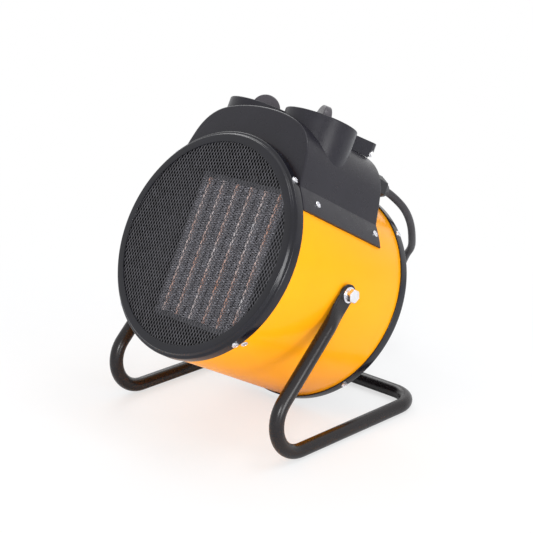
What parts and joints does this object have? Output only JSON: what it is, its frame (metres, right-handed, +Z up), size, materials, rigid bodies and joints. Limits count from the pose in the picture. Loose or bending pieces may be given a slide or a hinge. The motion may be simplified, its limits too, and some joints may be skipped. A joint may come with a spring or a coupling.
{
  "type": "forced air heater",
  "caption": "Round portable electric fan heater: a yellow drum with black end rings and a grey control hood, tilting between bolts on a bent tube stand.",
  "frame": {"origin": "middle of the heater's footprint on the floor, under the whole heater without its cord", "axes": "+Z up, the heated air leaves the front towards -Y, +X to the object's left as seen from its front"},
  "size_m": [0.3681, 0.4224, 0.3304],
  "materials": {
    "yellow_paint": "gloss powder coat, warm yellow",
    "black_paint": "satin black powder coat",
    "grey_plastic": "fine matte moulding, dark grey",
    "black_plastic": "satin black nylon",
    "ceramic": "grey housing",
    "zinc": "bright zinc plate",
    "steel": "plain steel",
    "dark_steel": "dark grey coated sheet",
    "aluminium": "plain aluminium",
    "element": "bars with a coppery cast and folded fins",
    "rubber": "matte black rubber"
  },
  "bodies": {
    "stand": {"stand_frame": "black_paint", "cord_lead": "rubber", "cord_coil": "rubber", "coil_tie": "black_plastic", "plug_relief": "rubber", "plug_body": "rubber", "plug_pin_a": "zinc", "plug_pin_b": "zinc"},
    "heater": {"drum_shell": "yellow_paint", "front_ring": "black_paint", "rear_ring": "black_paint", "front_grille": "black_paint", "rear_guard": "black_paint", "control_hood": "grey_plastic", "thermostat_body": "ceramic", "selector_switch": "black_plastic", "terminal_block": "black_plastic", "rear_grip": "grey_plastic", "wire_eye": "zinc", "cord_gland": "black_plastic", "gland_lock_nut": "black_plastic", "gland_dome_nut": "black_plastic", "gland_seal": "rubber", "element_frame": "aluminium", "side_baffle_left": "dark_steel", "side_baffle_right": "dark_steel", "upper_rail": "dark_steel", "lower_rail": "dark_steel", "thermal_cutout": "black_plastic", "fan_motor": "steel", "motor_bracket": "dark_steel", "heating_unit_1": "element", "heating_unit_2": "element", "heating_unit_3": "element", "heating_unit_4": "element", "heating_unit_5": "element", "heating_unit_6": "element", "spacer_left": "black_plastic", "washer_left": "zinc", "spring_washer_left": "zinc", "pivot_bolt_left": "zinc", "weld_nut_left": "steel", "spacer_right": "black_plastic", "washer_right": "zinc", "spring_washer_right": "zinc", "pivot_bolt_right": "zinc", "weld_nut_right": "steel"},
    "thermostat_knob": {"thermostat_knob": "grey_plastic", "thermostat_shaft": "steel"},
    "selector_knob": {"selector_knob": "grey_plastic", "selector_shaft": "steel"},
    "fan": {"fan_impeller": "aluminium", "motor_shaft": "steel", "hub_nut": "zinc"}
  },
  "joints": [
    {"name": "tilt", "type": "hinge", "parent": "stand", "child": "heater", "pos_m": [0, 0.00014, 0.1538], "axis": [1, 0, 0], "range_deg": [-4, 30], "deforming": ["cord_lead"]},
    {"name": "thermostat_turn", "type": "hinge", "parent": "heater", "child": "thermostat_knob", "pos_m": [-0.041, 0.04225, 0.30196], "axis": [0, 0.4848, 0.8746], "range_deg": [-150, 120]},
    {"name": "selector_turn", "type": "hinge", "parent": "heater", "child": "selector_knob", "pos_m": [0.041, 0.04225, 0.30196], "axis": [0, 0.4848, 0.8746], "range_deg": [-90, 45]},
    {"name": "fan_spin", "type": "hinge", "parent": "heater", "child": "fan", "pos_m": [0, 0.03075, 0.13683], "axis": [0, 0.8746, -0.4848], "continuous": true}
  ]
}
